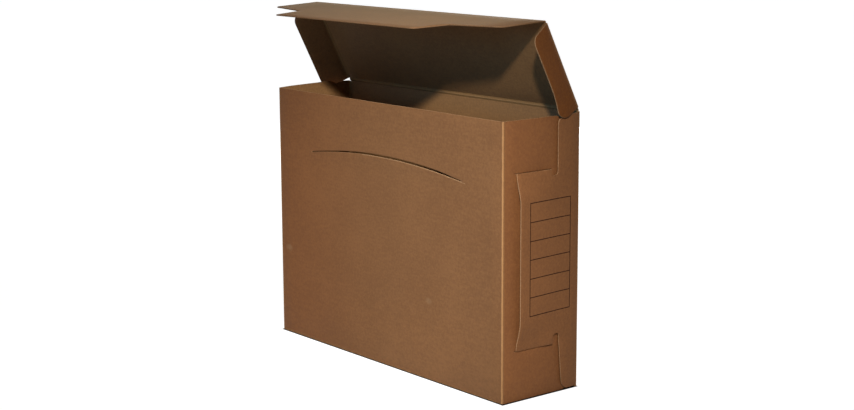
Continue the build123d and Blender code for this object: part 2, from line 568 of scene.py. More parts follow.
# Painted shade: the ears and the end flaps are the same kraft as the front, in darker,
# more orange copies for how the light falls on them.
SHADED_EAR_KRAFT = KraftFinish(
    "kraft_ear_painted_shade", (107, 62, 27), (124, 75, 35), (80, 47, 22), gloss=0.12
)
SHADED_END_KRAFT = KraftFinish("kraft_end_painted_shade", (109, 69, 37), (126, 82, 46), (82, 51, 28))
SHADED_INNER_END_KRAFT = KraftFinish(
    "kraft_inner_end_painted_shade", (108, 66, 34), (124, 79, 42), (82, 49, 26)
)
INSIDE_KRAFT = KraftFinish("kraft_inside", (122, 87, 52), (141, 103, 62), (93, 65, 38))
CUT_EDGE = CutEdgeFinish("kraft_cut_edge", (138, 102, 68), (170, 132, 94))
DULL_EDGE = CutEdgeFinish("kraft_dull_edge", (116, 82, 52), (142, 106, 72))
OUTER_FOLD = FoldFinish("fold_outside", (121, 81, 46), (168, 124, 78), 0.3, 0.75)
# On the inside of a fold the pale line is a painted highlight on the ridge.
INNER_FOLD = FoldFinish("fold_inside", (133, 98, 57), (160, 124, 80), 0.25, 0.5)
TABLE_INK = InkFinish("table_ink", (34, 15, 6), (66, 36, 16))


class Finishes:
    """The materials of the box, each built once when it is first asked for."""

    def __init__(self) -> None:
        """Start with no material built."""
        self._built: dict[str, Material] = {}

    def get(self, finish: Finish) -> Material:
        """Return the material of a finish.

        Args:
            finish: The finish.

        Returns:
            Its material.
        """
        if finish.name not in self._built:
            self._built[finish.name] = finish.build()
        return self._built[finish.name]


@dataclass(frozen=True)
class Plane:
    """Where a sheet of board lies on the box.

    Attributes:
        origin: Its origin in millimetres.
        along: Direction of its X.
        up: Direction of its Y.
        out: Direction of its outer side.
    """

    origin: Triple
    along: Triple
    up: Triple
    out: Triple

    @property
    def mirrored(self) -> bool:
        """Tell whether the plane turns a piece into its mirror image."""
        return Vector(self.along).cross(Vector(self.up)).dot(Vector(self.out)) < 0

    def matrix(self) -> Matrix:
        """Return the matrix that takes the board to its place, in metres."""
        turn = Matrix((self.along, self.up, self.out)).transposed().to_4x4()
        return Matrix.Translation([level * MM for level in self.origin]) @ turn


def tilted(start: Triple, angle: float) -> Plane:
    """Return the plane of a lid sheet that rises from its fold.

    Args:
        start: Point on the fold, in millimetres.
        angle: Rise above the closed lid, in degrees.

    Returns:
        A plane whose Y runs away from the fold and whose Z is the outside.
    """
    turn = math.radians(angle)
    rise = (0.0, -math.cos(turn), math.sin(turn))
    return Plane(start, RIGHT, rise, (0.0, math.sin(turn), math.cos(turn)))


def end_plane(side: int, x: float) -> Plane:
    """Return the plane of an end sheet: X runs to the back, Y up, Z out."""
    return Plane((side * x, 0.0, 0.0), BACKWARDS, UP, (float(side), 0.0, 0.0))


LID_PLANE = tilted((0.0, BACK_Y, LID_Z), LID_ANGLE)
LID_FRONT = tuple(
    LID_PLANE.origin[axis] + LID_DEPTH * LID_PLANE.up[axis] for axis in range(3)
)
FLAP_PLANE = tilted(LID_FRONT, FLAP_ANGLE)


class Bench:
    """Edit-mode tools for one piece of board, in its own flat plane.

    The board lies in X and Y with its outer side up, and every length that
    goes in is in millimetres.
    """

    def __init__(self, name: str, low: Point2, high: Point2) -> None:
        """Lay a rectangle of board from its low to its high corner.

        Args:
            name: Name of the solid that the board stands for.
            low: Its low corner.
            high: Its high corner.
        """
        select_only(None)
        middle = ((low[0] + high[0]) / 2 * MM, (low[1] + high[1]) / 2 * MM, 0.0)
        bpy.ops.mesh.primitive_plane_add(size=1.0, location=middle)
        self.piece = bpy.context.active_object
        self.piece.name = f"{name}_board"
        self.piece.data.name = self.piece.name
        self.piece.scale = ((high[0] - low[0]) * MM, (high[1] - low[1]) * MM, 1.0)
        bpy.ops.object.transform_apply(location=True, rotation=True, scale=True)

    def __enter__(self) -> "Bench":
        """Go into edit mode.

        Returns:
            The bench itself.
        """
        bpy.context.view_layer.objects.active = self.piece
        bpy.ops.object.mode_set(mode="EDIT")
        return self

    def __exit__(self, *_: object) -> None:
        """Leave edit mode."""
        bpy.ops.object.mode_set(mode="OBJECT")

    def pick(self, kind: Pick, test: Callable[..., bool]) -> None:
        """Select what passes a test.

        Args:
            kind: What is tested.
            test: Takes a corner, an edge's two ends or a face's middle, in
                millimetres, and tells whether it is wanted.
        """
        bpy.ops.mesh.select_mode(type=kind.value)
        mesh = bmesh.from_edit_mesh(self.piece.data)
        if kind is Pick.CORNERS:
            found = [(vertex, (vertex.co / MM,)) for vertex in mesh.verts]
        elif kind is Pick.EDGES:
            found = [
                (edge, [end.co / MM for end in edge.verts]) for edge in mesh.edges
            ]
        else:
            found = [
                (face, (face.calc_center_median() / MM,)) for face in mesh.faces
            ]
        for item, _ in found:
            item.select = False
        for item, spots in found:
            if test(*spots):
                item.select = True
        mesh.select_flush_mode()
        bmesh.update_edit_mesh(self.piece.data)

    def pick_corners(self, spots: Iterable[Point2]) -> None:
        """Select the vertices at some spots.

        Args:
            spots: Where the vertices lie.
        """
        wanted = [Vector(spot) for spot in spots]
        self.pick(
            Pick.CORNERS,
            lambda corner: any(
                (corner.xy - spot).length < CORNER_NEAR for spot in wanted
            ),
        )

    def mark(self, surface: Surface, test: Callable[[Vector], bool]) -> None:
        """Give a surface of its own to the faces whose middle passes a test.

        Args:
            surface: The surface.
            test: Takes a face's middle in millimetres and tells whether it is wanted.
        """
        self.pick(Pick.FACES, test)
        for face in bmesh.from_edit_mesh(self.piece.data).faces:
            if face.select:
                face.material_index = surface.value
        bmesh.update_edit_mesh(self.piece.data)

    def slice(self, spot: Point2, normal: Point2, drop: bool = False) -> None:
        """Cut along a line, and drop what lies on the normal's side if asked.

        Args:
            spot: A point on the line.
            normal: Direction square to the line.
            drop: Whether the part on the normal's side goes.
        """
        bpy.ops.mesh.select_all(action="SELECT")
        bpy.ops.mesh.bisect(
            plane_co=(spot[0] * MM, spot[1] * MM, 0.0),
            plane_no=Vector((normal[0], normal[1], 0.0)).normalized(),
            clear_outer=drop,
            threshold=SAME,
        )

    def rule(self, columns: Iterable[float] = (), rows: Iterable[float] = ()) -> None:
        """Cut the board into columns and rows, so that it can curve.

        Args:
            columns: Places of the upright cuts.
            rows: Places of the level cuts.
        """
        for column in columns:
            self.slice((column, 0.0), (1.0, 0.0))
        for row in rows:
            self.slice((0.0, row), (0.0, 1.0))

    def cut_out(self, low: Point2, high: Point2) -> None:
        """Delete the faces inside a rectangle.

        Args:
            low: Low corner of the rectangle.
            high: Its high corner.
        """
        self.pick(
            Pick.FACES,
            lambda spot: low[0] < spot.x < high[0] and low[1] < spot.y < high[1],
        )
        bpy.ops.mesh.delete(type="FACE")

    def round_corners(
        self, spots: Iterable[Point2], reach: float, steps: int = 8
    ) -> None:
        """Round the corners at some spots, each by a reach along its edges.

        Args:
            spots: Where the corners are.
            reach: How far along its edges each is rounded.
            steps: Edges round each corner.
        """
        self.pick_corners(spots)
        bpy.ops.mesh.bevel(
            offset_type="ABSOLUTE",
            offset=reach * MM,
            segments=steps,
            affect="VERTICES",
            profile=0.5,
        )

    def pull(self, shift: Sequence[float]) -> None:
        """Extrude the selected edges by a shift.

        Args:
            shift: The shift in millimetres.
        """
        bpy.ops.mesh.extrude_region_move(
            TRANSFORM_OT_translate={"value": [level * MM for level in shift]}
        )

    def push(self, way: Push, distance: float, weight: Weight) -> None:
        """Move points by a weighted distance, with an applied modifier.

        Args:
            way: Direction of the move.
            distance: Move at full weight, in millimetres.
            weight: Share from 0 to 1 at a point in millimetres.
        """
        group = self.piece.vertex_groups.new(name="push")
        for vertex in self.piece.data.vertices:
            share = min(1.0, max(0.0, weight(vertex.co / MM)))
            if share > 0.0:
                group.add([vertex.index], share, "REPLACE")
        move = self.piece.modifiers.new("push", "DISPLACE")
        move.direction = way.value
        move.strength = distance * MM
        move.mid_level = 0.0
        move.vertex_group = group.name
        self.apply(move)
        self.piece.vertex_groups.clear()

    def apply(self, modifier: bpy.types.Modifier) -> None:
        """Apply one modifier to the piece.

        Args:
            modifier: The modifier.
        """
        bpy.context.view_layer.objects.active = self.piece
        self.piece.select_set(True)
        bpy.ops.object.modifier_apply(modifier=modifier.name)

    def thicken(self) -> None:
        """Give the sheet the thickness of the board, half on each side."""
        wall = self.piece.modifiers.new("wall", "SOLIDIFY")
        wall.thickness = BOARD * MM
        wall.offset = 0.0
        wall.use_even_offset = True
        self.apply(wall)

    def soften(self, width: float, steps: int) -> None:
        """Round the sharp edges a little, as a die cut leaves them.

        Args:
            width: Width of the rounding.
            steps: Faces across it.
        """
        edge = self.piece.modifiers.new("soft_edge", "BEVEL")
        edge.width = width * MM
        edge.segments = steps
        edge.limit_method = "ANGLE"
        edge.angle_limit = math.radians(SHARP)
        edge.use_clamp_overlap = True
        self.apply(edge)

    def face_up(self) -> None:
        """Turn every face outwards."""
        with self:
            bpy.ops.mesh.select_all(action="SELECT")
            bpy.ops.mesh.remove_doubles(threshold=SAME)
            bpy.ops.mesh.normals_make_consistent(inside=False)

    def dress(
        self,
        materials: Iterable[Material],
        surface: Callable[[bpy.types.MeshPolygon], Surface],
    ) -> None:
        """Give the piece its materials, and each face the one of its surface.

        Args:
            materials: Materials in the order of the surfaces.
            surface: Tells which surface a face belongs to.
        """
        for material in materials:
            self.piece.data.materials.append(material)
        for polygon in self.piece.data.polygons:
            polygon.material_index = surface(polygon).value

    def stand(self, plane: Plane, smooth_angle: float = 30.0) -> bpy.types.Object:
        """Put the finished board in its place.

        Args:
            plane: Where its own plane lies on the box.
            smooth_angle: Sharpest angle that is shaded smooth.

        Returns:
            The piece, with its place in its mesh.
        """
        select_only(self.piece)
        self.piece.matrix_world = plane.matrix()
        bpy.ops.object.transform_apply(location=True, rotation=True, scale=True)
        if plane.mirrored:
            self.face_up()
        bpy.ops.object.shade_smooth_by_angle(angle=math.radians(smooth_angle))
        return self.piece


def board_surface(polygon: bpy.types.MeshPolygon) -> Surface:
    """Return which surface of a board a face belongs to, by its normal.

    Args:
        polygon: A face of a board in its own flat plane.

    Returns:
        Its surface.
    """
    rise = polygon.normal.z
    if polygon.material_index >= Surface.CUT_EDGE.value and rise > 0.5:
        return Surface(polygon.material_index)
    if rise > FLAT_ON:
        return Surface.OUTSIDE
    return Surface.INSIDE if rise < -FLAT_ON else Surface.CUT_EDGE


@dataclass
class Piece:
    """What the sub-assemblies share: how a cut sheet becomes a piece of board.

    Attributes:
        finishes: The materials of the box.
    """

    finishes: Finishes

    def finish(
        self,
        bench: Bench,
        plane: Plane,
        body: str,
        node: str,
        outside: Finish = OUTSIDE_KRAFT,
        edge: Finish = CUT_EDGE,
        soft: tuple[float, int] = (SOFT_EDGE, 2),
    ) -> None:
        """Make board of a sheet and seat it on its body, for its plain solid.

        Args:
            bench: The bench with the cut sheet.
            plane: Where the sheet lies on the box.
            body: Body that the piece moves with.
            node: Solid that it stands for.
            outside: Finish of its outer side.
            edge: Finish of its cut edges.
            soft: Rounding of its edges, and in how many steps.
        """
        bench.thicken()
        bench.soften(*soft)
        materials = [outside, INSIDE_KRAFT, edge, TABLE_INK]
        bench.dress([self.finishes.get(item) for item in materials], board_surface)
        made = bench.stand(plane)
        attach(made, body)
        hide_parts(node)
        LOG.info("%s rides on %s, %d faces", made.name, body, len(made.data.polygons))


@dataclass
class Fold:
    """A strip of scored board that bends from one panel to the next.

    Attributes:
        name: Solid that the strip stands for.
        start: One end of the fold's axis, in millimetres.
        end: The other end of the axis.
        first: Direction from the axis into the first panel.
        second: Direction from the axis into the second panel.
        out: Direction that the outside of the fold faces.
        bodies: The two bodies that a moving fold joins, or the one it rides on.
        leg: Width of the strip on each panel.
        radius: Radius of the outside of the bend.
        bead: Height of the ridge on the inside.
        bead_run: How far the ridge runs out to each side.
        proud: How far the strip stands off the panels that it laps over.
        steps: Faces round the bend.
        blend_reach: How far from its axis a moving fold's blend ends; not used.
    """

    name: str
    start: Triple
    end: Triple
    first: Triple
    second: Triple
    out: Triple
    bodies: tuple[str, ...] = ("box",)
    leg: float = 2.2
    radius: float = 1.1
    bead: float = 0.25
    bead_run: float = 1.3
    proud: float = 0.03
    steps: int = 8
    blend_reach: float = 1.2

    def make(self, finishes: Finishes) -> None:
        """Build the strip, dress it, and seat it on its body, or leave it in place where
        it joins two.

        Args:
            finishes: The materials of the box.
        """
        run = (Vector(self.end) - Vector(self.start)).length
        first, second = Vector(self.first).normalized(), Vector(self.second).normalized()
        bend = math.pi - first.angle(second)
        half = BOARD / 2 + self.proud
        # The corner where the two outer faces would meet
        corner = half * math.tan(bend / 2)
        raised = Vector((math.sin(bend / 2), 0.0, math.cos(bend / 2)))
        bench = self._bent_sheet(bend, corner, run)
        bench.face_up()
        if sum(face.normal.dot(raised) for face in bench.piece.data.polygons) < 0:
            with bench:
                bpy.ops.mesh.select_all(action="SELECT")
                bpy.ops.mesh.flip_normals()
        self._thicken(bench, bend)
        self._map(bench, bend, self.leg + corner)
        self._dress(bench, finishes, raised)
        # The strip's own frame: X into the second panel's side, Z out of the first panel
        axis = (Vector(self.end) - Vector(self.start)).normalized()
        along = -first
        normal = (Vector(self.out) - along * Vector(self.out).dot(along)).normalized()
        origin = Vector(self.start) + normal * half + along * corner
        place = Plane(tuple(origin), tuple(along), tuple(axis), tuple(normal))
        made = bench.stand(place, 50.0)
        if len(self.bodies) == 2:
            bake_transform(made)
        else:
            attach(made, self.bodies[0])
        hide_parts(self.name)
        degrees = math.degrees(bend)
        LOG.info("%s bends %.0f degrees on %s", self.name, degrees, self.bodies)

    def _bent_sheet(self, bend: float, corner: float, run: float) -> Bench:
        """Return a bench with the first leg, spun round the bend to the second.

        Args:
            bend: How far the strip turns, in radians.
            corner: From the axis to where the legs' outer faces would meet.
            run: Length of the fold.

        Returns:
            The bench with the bent sheet, which has no thickness yet.
        """
        setback = self.radius * math.tan(bend / 2)
        bench = Bench(self.name, (-self.leg - corner, 0.0), (-setback, run))
        with bench:
            bench.pick(
                Pick.EDGES,
                lambda a, b: max(abs(a.x + setback), abs(b.x + setback)) < NEAR / 10,
            )
            bpy.ops.mesh.spin(
                steps=self.steps,
                angle=-bend,
                center=(-setback * MM, 0.0, -self.radius * MM),
                axis=(0.0, 1.0, 0.0),
            )
            way = Vector((math.cos(bend), 0.0, -math.sin(bend)))
            bench.pull(way * (self.leg + corner - setback))
        return bench

    def _thicken(self, bench: Bench, bend: float) -> None:
        """Give the strip its board, with the bead on its inner side.

        Args:
            bench: Bench with the bent sheet.
            bend: How far the strip turns, in radians.
        """
        piece = bench.piece
        group = piece.vertex_groups.new(name="bead")
        least = 0.001  # a point with no weight would drop out of the group
        for vertex in piece.data.vertices:
            off = abs(self._across(vertex.co / MM, bend))
            share = smooth(1.0 - off / self.bead_run)
            group.add([vertex.index], least + (1.0 - least) * share, "REPLACE")
        full = BOARD + 2 * self.proud + self.bead
        wall = piece.modifiers.new("wall", "SOLIDIFY")
        wall.thickness = full * MM
        wall.offset = -1.0
        wall.vertex_group = group.name
        wall.thickness_vertex_group = (BOARD + 2 * self.proud) / full
        bench.apply(wall)
        piece.vertex_groups.clear()

    def _across(self, spot: Vector, bend: float) -> float:
        """Return how far a point lies across the fold, in millimetres."""
        both = spot.x * (1 + math.cos(bend)) - spot.z * math.sin(bend)
        return both / 2 / math.cos(bend / 2)

    def _map(self, bench: Bench, bend: float, reach: float) -> None:
        """Lay a map on the strip: across it from 0 to 1, along it in metres.

        Args:
            bench: Bench with the strip.
            bend: How far the strip turns, in radians.
            reach: Width of a leg's outer face.
        """
        data = bench.piece.data
        layer = data.uv_layers.active or data.uv_layers.new(name="UVMap")
        width = 2 * reach * math.cos(bend / 2)
        for loop in data.loops:
            spot = data.vertices[loop.vertex_index].co
            across = 0.5 + self._across(spot / MM, bend) / width
            layer.data[loop.index].uv = (across, spot.y)

    def _dress(self, bench: Bench, finishes: Finishes, raised: Vector) -> None:
        """Give the outside, the inside and the cut ends their materials.

        Args:
            bench: Bench with the strip.
            finishes: The materials of the box.
            raised: Direction that the outside of the bend faces.
        """

        def surface(polygon: bpy.types.MeshPolygon) -> Surface:
            """Return which surface of the strip a face belongs to.

            Args:
                polygon: A face of the strip.

            Returns:
                Its surface.
            """
            if abs(polygon.normal.y) > 0.7:
                return Surface.CUT_EDGE
            return Surface.OUTSIDE if polygon.normal.dot(raised) > 0 else Surface.INSIDE

        materials = (OUTER_FOLD, INNER_FOLD, CUT_EDGE)
        bench.dress([finishes.get(finish) for finish in materials], surface)


@dataclass
class BoxShell(Piece):
    """Base, front, back and the flaps that stand still.

    Attributes:
        slit_reach: Half the length of the curved slit.
        slit_top: Middle of the slit above the floor.
        slit_rise: Its middle above its ends.
        slit_half: Half its width at its left end.
        slit_gape: How much further its upper rim opens.
        gape_rise: Where the rim starts to open, and over what length.
        gape_fall: Length over which it closes again at the right end.
        rim_reach: Height above the slit over which the gape dies out.
        arc_reach: How far out from the middle the rows follow the slit.
        arc_most: Their most drop, in rises of the slit.
        pale_lip_band: Height of a band under the slit in the cut edge's colour: partly
            the lower lip's cut edge, partly a painted highlight where it catches the
            light.
        pale_lip_span: Where along the slit that band lies.
        lip_out: How far the lower lip stands out.
        lip_reach: Height below the slit over which it does.
        front_columns: Cuts that let the front bow, beside the slit.
        front_rows: Cuts across the front, those at the slit left out.
        panel_bow: How far the front and the back are bowed in.
        bow_runs: How far that bow rises from the ends, the base and the top.
        corner_cut: What the back panel lacks at its upper corners.
        flap_reach: Width of an inner end flap from its fold.
        flap_round: Rounding of its upper corner.
        foot: Height of its lower edge.
        foot_round: Rounding of its lower corner.
        left_flap_rise: How far the left one's free upper corner rises.
        left_rise_from: Height from which it rises.
        left_rise_run: Height over which it does.
        lock_slit: Width of the slits for the lock tab.
        lock_span: Where those slits start and end.
        bottom_flap_height: Height of a bottom flap.
        bottom_flap_taper: How much its top is narrower at each end.
        bottom_flap_round: Rounding of its upper corners.
        bottom_flap_lean: How far it leans in.
        lean_rise: Height over which it starts to lean.
        right_crease_gap: How far the right rear fold ends under the lid's.
        left_crease_gap: How far the left rear fold does.
    """

    slit_reach: float = 114.0
    slit_top: float = 199.8
    slit_rise: float = 8.4
    slit_half: float = 0.35
    slit_gape: float = 1.0
    gape_rise: Point2 = (-100.0, 80.0)
    gape_fall: float = 36.0
    rim_reach: float = 6.0
    arc_reach: float = 140.0
    arc_most: float = 1.35
    pale_lip_band: float = 0.55
    pale_lip_span: Point2 = (-34.0, 119.0)
    lip_out: float = 1.0
    lip_reach: float = 14.0
    front_columns: tuple[float, ...] = (120.0, 132.0, 150.0)
    front_rows: tuple[float, ...] = (
        *(40.0, 80.0, 120.0, 150.0, 168.0, 180.0, 187.0, 192.0, 196.0),
        *(202.5, 205.0, 209.0, 216.0, 226.0, 238.0),
    )
    panel_bow: float = 0.5
    bow_runs: Triple = (120.0, 90.0, 60.0)
    corner_cut: float = 3.0
    flap_reach: float = 75.0
    flap_round: float = 15.0
    foot: float = 0.15
    foot_round: float = 3.0
    left_flap_rise: float = 2.1
    left_rise_from: float = 214.0
    left_rise_run: float = 30.0
    lock_slit: float = 0.6
    lock_span: Point2 = (-30.8, 12.7)
    bottom_flap_height: float = 60.0
    bottom_flap_taper: float = 8.0
    bottom_flap_round: float = 7.0
    bottom_flap_lean: float = 1.9
    lean_rise: float = 34.0
    right_crease_gap: float = 1.0
    left_crease_gap: float = 2.6

    def build(self) -> None:
        """Build the panels and folds of the box itself."""
        self._front()
        self._back()
        self._base()
        for word, side in SIDES.items():
            self._inner_flap(word, side)
            self._bottom_flap(word, side)
        for fold in self._folds():
            fold.make(self.finishes)

    def _front(self) -> None:
        """Front panel with the curved slit that takes the tongue."""
        half, low, high = INNER_X - FOLD_END, BASE_Z + FOLD_END, FRONT_HEIGHT
        bench = Bench("front_panel", (-half, low), (half, high))
        above, below = self.slit_top + self.slit_half, self.slit_top - self.slit_half
        lip_foot = below - self.pale_lip_band
        lip_start, lip_end = self.pale_lip_span
        inner = steps_between(-self.slit_reach, self.slit_reach, 30)
        columns = [-column for column in reversed(self.front_columns)]
        columns += [-self.slit_reach, *inner, self.slit_reach]
        # On the right the lip's end stands in for the innermost of these cuts
        columns += [lip_end, *self.front_columns[1:]]
        rows = [row for row in self.front_rows if row < lip_foot]
        rows += [lip_foot, below, above]
        rows += [row for row in self.front_rows if row > above]
        with bench:
            bench.rule(columns, rows)
            # A band under the slit takes the cut edge's colour: partly the lower lip's
            # cut edge, partly a painted highlight.
            bench.mark(
                Surface.CUT_EDGE,
                lambda spot: lip_start < spot.x < lip_end and lip_foot < spot.y < below,
            )
            bench.cut_out((-self.slit_reach, below), (self.slit_reach, above))
        # The rows are bent into the slit's arc, which goes on past its ends
        bench.push(
            Push.UP,
            -self.slit_rise * self.arc_most,
            lambda spot: (min(abs(spot.x), self.arc_reach) / self.slit_reach) ** 2
            * smooth((high - spot.y) / (high - above))
            * smooth((spot.y - low) / (below - low))
            / self.arc_most,
        )
        bench.push(Push.UP, self.slit_gape, self._rim)
        bench.push(Push.OUT, self.lip_out, self._lip)
        bench.push(Push.OUT, -self.panel_bow, swell(half, low, high, self.bow_runs))
        plane = Plane((0.0, FRONT_Y, 0.0), RIGHT, UP, FORWARDS)
        self.finish(bench, plane, "box", "front_panel", FRONT_KRAFT, soft=(0.24, 3))

    def _below_arc(self, spot: Vector) -> float:
        """Return how far a point lies under the middle line of the slit."""
        drop = self.slit_rise * (spot.x / self.slit_reach) ** 2
        return self.slit_top - drop - spot.y

    def _rim(self, spot: Vector) -> float:
        """Return how far the slit's upper rim gapes, from 0 to 1.

        Args:
            spot: A point of the sheet in millimetres.

        Returns:
            The share.
        """
        over = -self._below_arc(spot) - self.slit_half
        if over < -0.1 or abs(spot.x) > self.slit_reach:
            return 0.0
        start, run = self.gape_rise
        opened = smooth((spot.x - start) / run)
        closed = smooth((self.slit_reach - spot.x) / self.gape_fall)
        return opened * closed * smooth(1.0 - over / self.rim_reach)

    def _lip(self, spot: Vector) -> float:
        """Return how far the lower lip of the slit stands out, from 0 to 1.

        Args:
            spot: A point of the sheet in millimetres.

        Returns:
            The share.
        """
        under = self._below_arc(spot)
        if under < -0.05 or abs(spot.x) > self.slit_reach:
            return 0.0
        rounded = (1.0 - (spot.x / self.slit_reach) ** 2) ** 0.5
        return smooth(1.0 - under / self.lip_reach) * rounded

    def _back(self) -> None:
        """Back panel, with its top corners cut off beside the lid fold."""
        half, low = OUTER_X - FOLD_END, BASE_Z + FOLD_END
        high = LID_Z - FOLD_END - FOLD_ROOM
        bench = Bench("back_panel", (-half, low), (half, high))
        with bench:
            for sign in (-1, 1):
                bench.slice((sign * half, high - self.corner_cut), (sign, 1.0), drop=True)
            bench.rule(steps_between(-half, half, 16), steps_between(low, high, 10))
        bench.push(Push.OUT, self.panel_bow, swell(half, low, high, self.bow_runs))
        plane = Plane((0.0, BACK_Y, 0.0), LEFT, UP, BACKWARDS)
        self.finish(bench, plane, "box", "back_panel")

    def _base(self) -> None:
        """Bottom panel that the box stands on."""
        half, depth = BASE_FOLD_X - FOLD_END, BACK_Y - FOLD_END
        bench = Bench("bottom_panel", (-half, -depth), (half, depth))
        with bench:
            bench.rule(steps_between(-half, half, 12), steps_between(-depth, depth, 4))
        plane = Plane((0.0, 0.0, BASE_Z), LEFT, BACKWARDS, DOWN)
        self.finish(bench, plane, "box", "bottom_panel", soft=(0.12, 2))

    def _inner_flap(self, word: str, side: int) -> None:
        """Inner end flap with the two slits that hold the lock tab.

        Args:
            word: Which end it is at.
            side: 1 at the right end and -1 at the left one.
        """
        name = f"{word}_inner_end_flap"
        near, far = FRONT_Y + FOLD_END, FRONT_Y + self.flap_reach
        start, end = self.lock_span
        bench = Bench(name, (near, self.foot), (far, FRONT_HEIGHT))
        with bench:
            bench.round_corners([(far, FRONT_HEIGHT)], self.flap_round, 12)
            bench.round_corners([(far, self.foot)], self.foot_round, 5)
            half = self.lock_slit / 2
            lower = [LOCK_BOTTOM - half, LOCK_BOTTOM + half]
            upper = [LOCK_TOP - half, LOCK_TOP + half]
            bench.rule(
                [start, -16.0, -2.0, end],
                [20.0, 36.0, *lower, 56.0, 90.0, 125.0, 160.0, 192.0, *upper]
                + [self.left_rise_from],
            )
            for low, high in (lower, upper):
                bench.cut_out((start, low), (end, high))
        if side < 0:
            bench.push(
                Push.UP,
                self.left_flap_rise,
                lambda spot: ((spot.x - near) / (far - near)) ** 0.6
                * smooth((spot.y - self.left_rise_from) / self.left_rise_run),
            )
        self.finish(bench, end_plane(side, INNER_X), "box", name, SHADED_INNER_END_KRAFT)

    def _bottom_flap(self, word: str, side: int) -> None:
        """Flap of the base that stands up inside the end, leaning in a little.

        Args:
            word: Which end it is at.
            side: 1 at the right end and -1 at the left one.
        """
        name = f"{word}_bottom_flap"
        half, low, high = BOTTOM_FLAP_HALF, BASE_Z + FOLD_END, self.bottom_flap_height
        bench = Bench(name, (-half, low), (half, high))
        top_half = half - self.bottom_flap_taper
        with bench:
            for sign in (-1, 1):
                slant = (sign * (high - low), self.bottom_flap_taper)
                bench.slice((sign * half, low), slant, drop=True)
            bench.round_corners(
                [(-top_half, high), (top_half, high)], self.bottom_flap_round
            )
            bench.rule([-20.0, 0.0, 20.0], steps_between(low, high, 6))
        bench.push(
            Push.OUT,
            -self.bottom_flap_lean,
            lambda spot: smooth((spot.y - low) / self.lean_rise),
        )
        self.finish(bench, end_plane(side, BASE_FOLD_X), "box", name)

    def _folds(self) -> list[Fold]:
        """Return the folds round the base, up the corners and at the lid.

        Returns:
            The folds, in the order in which they are made.
        """
        base, lid = BASE_FOLD_X - FOLD_END, LID_HALF - FOLD_ROOM
        folds = []
        for word, y, into, out in (
            ("front", FRONT_Y, BACKWARDS, FORWARDS),
            ("back", BACK_Y, FORWARDS, BACKWARDS),
        ):
            ends = (-base, y, BASE_Z), (base, y, BASE_Z)
            folds.append(Fold(f"{word}_bottom_crease", *ends, UP, into, out))
        ends = (-lid, BACK_Y, LID_Z), (lid, BACK_Y, LID_Z)
        bodies = ("box", "lid")
        folds.append(
            Fold("lid_crease", *ends, DOWN, LID_PLANE.up, BACKWARDS, bodies, bead=1.0)
        )
        gaps = {"right": self.right_crease_gap, "left": self.left_crease_gap}
        for word, side in SIDES.items():
            inwards = (-side, 0.0, 0.0)
            x = side * INNER_X
            ends = (x, FRONT_Y, FLOOR_GAP), (x, FRONT_Y, FRONT_HEIGHT)
            name = f"{word}_front_crease"
            folds.append(Fold(name, *ends, inwards, BACKWARDS, FORWARDS))
            x = side * OUTER_X
            ends = (x, BACK_Y, 0.2), (x, BACK_Y, LID_Z - gaps[word])
            bodies = ("box", f"{word}_end_flap")
            folds.append(
                Fold(f"{word}_back_crease", *ends, inwards, FORWARDS, BACKWARDS, bodies)
            )
            x = side * BASE_FOLD_X
            ends = (x, -BOTTOM_FLAP_HALF, BASE_Z), (x, BOTTOM_FLAP_HALF, BASE_Z)
            folds.append(Fold(f"{word}_bottom_crease", *ends, inwards, UP, DOWN))
        return folds


